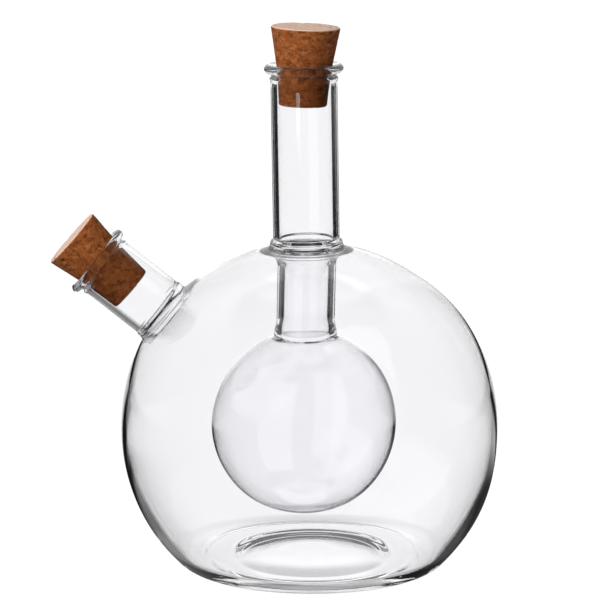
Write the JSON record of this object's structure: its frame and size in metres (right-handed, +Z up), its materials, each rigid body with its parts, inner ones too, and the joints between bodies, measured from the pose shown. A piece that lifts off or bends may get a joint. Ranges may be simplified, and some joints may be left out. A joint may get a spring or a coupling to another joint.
{
  "type": "oil and vinegar bottle",
  "caption": "Clear glass cruet for oil and vinegar: a round flask with an angled spout, a smaller flask sealed inside that fills through a tall neck, and tapered cork stoppers.",
  "frame": {"origin": "on the table plane under the middle of the footprint, which reaches from the spout cork's rim to the globe's far side; the globe's axis stands 10.9 mm towards +X of it", "axes": "+Z up along the globe's axis, with the neck leaning 0.9 degrees off it; the spout points to -X and upwards"},
  "size_m": [0.1418, 0.12, 0.1733],
  "materials": {
    "clear_glass": "clear, fire-polished",
    "pressed_cork": "pressed cork granules, matt"
  },
  "bodies": {
    "bottle": {"outer_globe": "clear_glass", "inner_flask": "clear_glass", "neck_ring_seal": "clear_glass", "spout_weld": "clear_glass", "neck_tube": "clear_glass", "spout_tube": "clear_glass"},
    "neck_stopper": {"neck_cork": "pressed_cork"},
    "spout_stopper": {"spout_cork": "pressed_cork"}
  },
  "joints": [
    {"name": "neck_cork_draw", "type": "slide", "parent": "bottle", "child": "neck_stopper", "axis": [0.0366, 0, 0.9993], "range_m": [0, 0.03]},
    {"name": "spout_cork_draw", "type": "slide", "parent": "bottle", "child": "spout_stopper", "axis": [-0.7501, 0, 0.6613], "range_m": [0, 0.03]}
  ]
}
